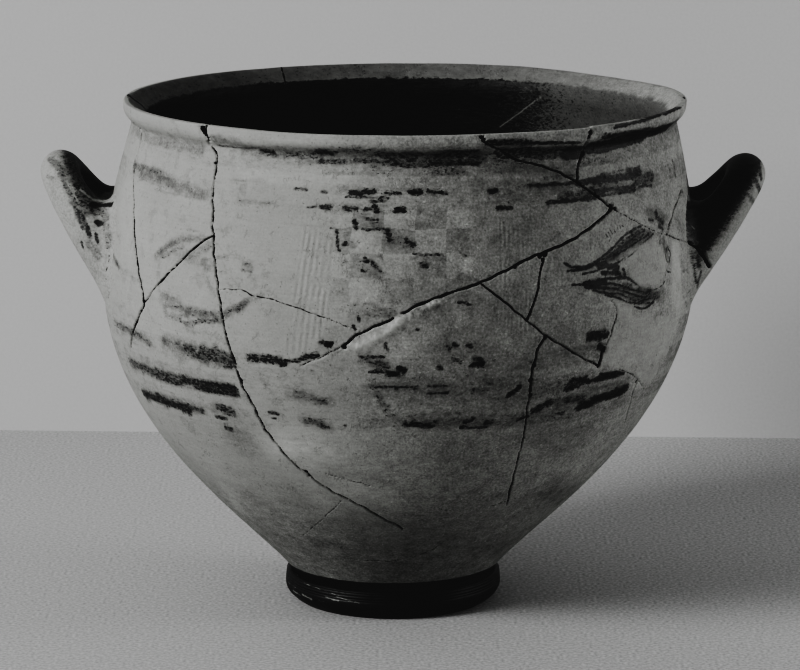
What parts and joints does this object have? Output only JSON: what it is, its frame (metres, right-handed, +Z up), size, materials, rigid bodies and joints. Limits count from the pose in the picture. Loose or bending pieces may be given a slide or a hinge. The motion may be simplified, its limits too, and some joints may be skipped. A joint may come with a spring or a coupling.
{
  "type": "amphoroid krater",
  "caption": "Wide-mouthed mixing bowl of fired clay on a low ring foot, with loop handles on its shoulder, worn painted bands and panels, and mended breaks.",
  "frame": {"origin": "on the floor that the foot stands on, under the middle of the bounding box, which the handles set left and right", "axes": "+Z up along the vessel, +X towards the right handle as the picture shows it, and the pictured side faces -Y"},
  "size_m": [0.5162, 0.4238, 0.3645],
  "materials": {
    "fired_clay": "worn matt slip with dark painted ornament, a little sheen on the foot and handles"
  },
  "bodies": {
    "root": {"krater": "fired_clay"}
  },
  "joints": []
}
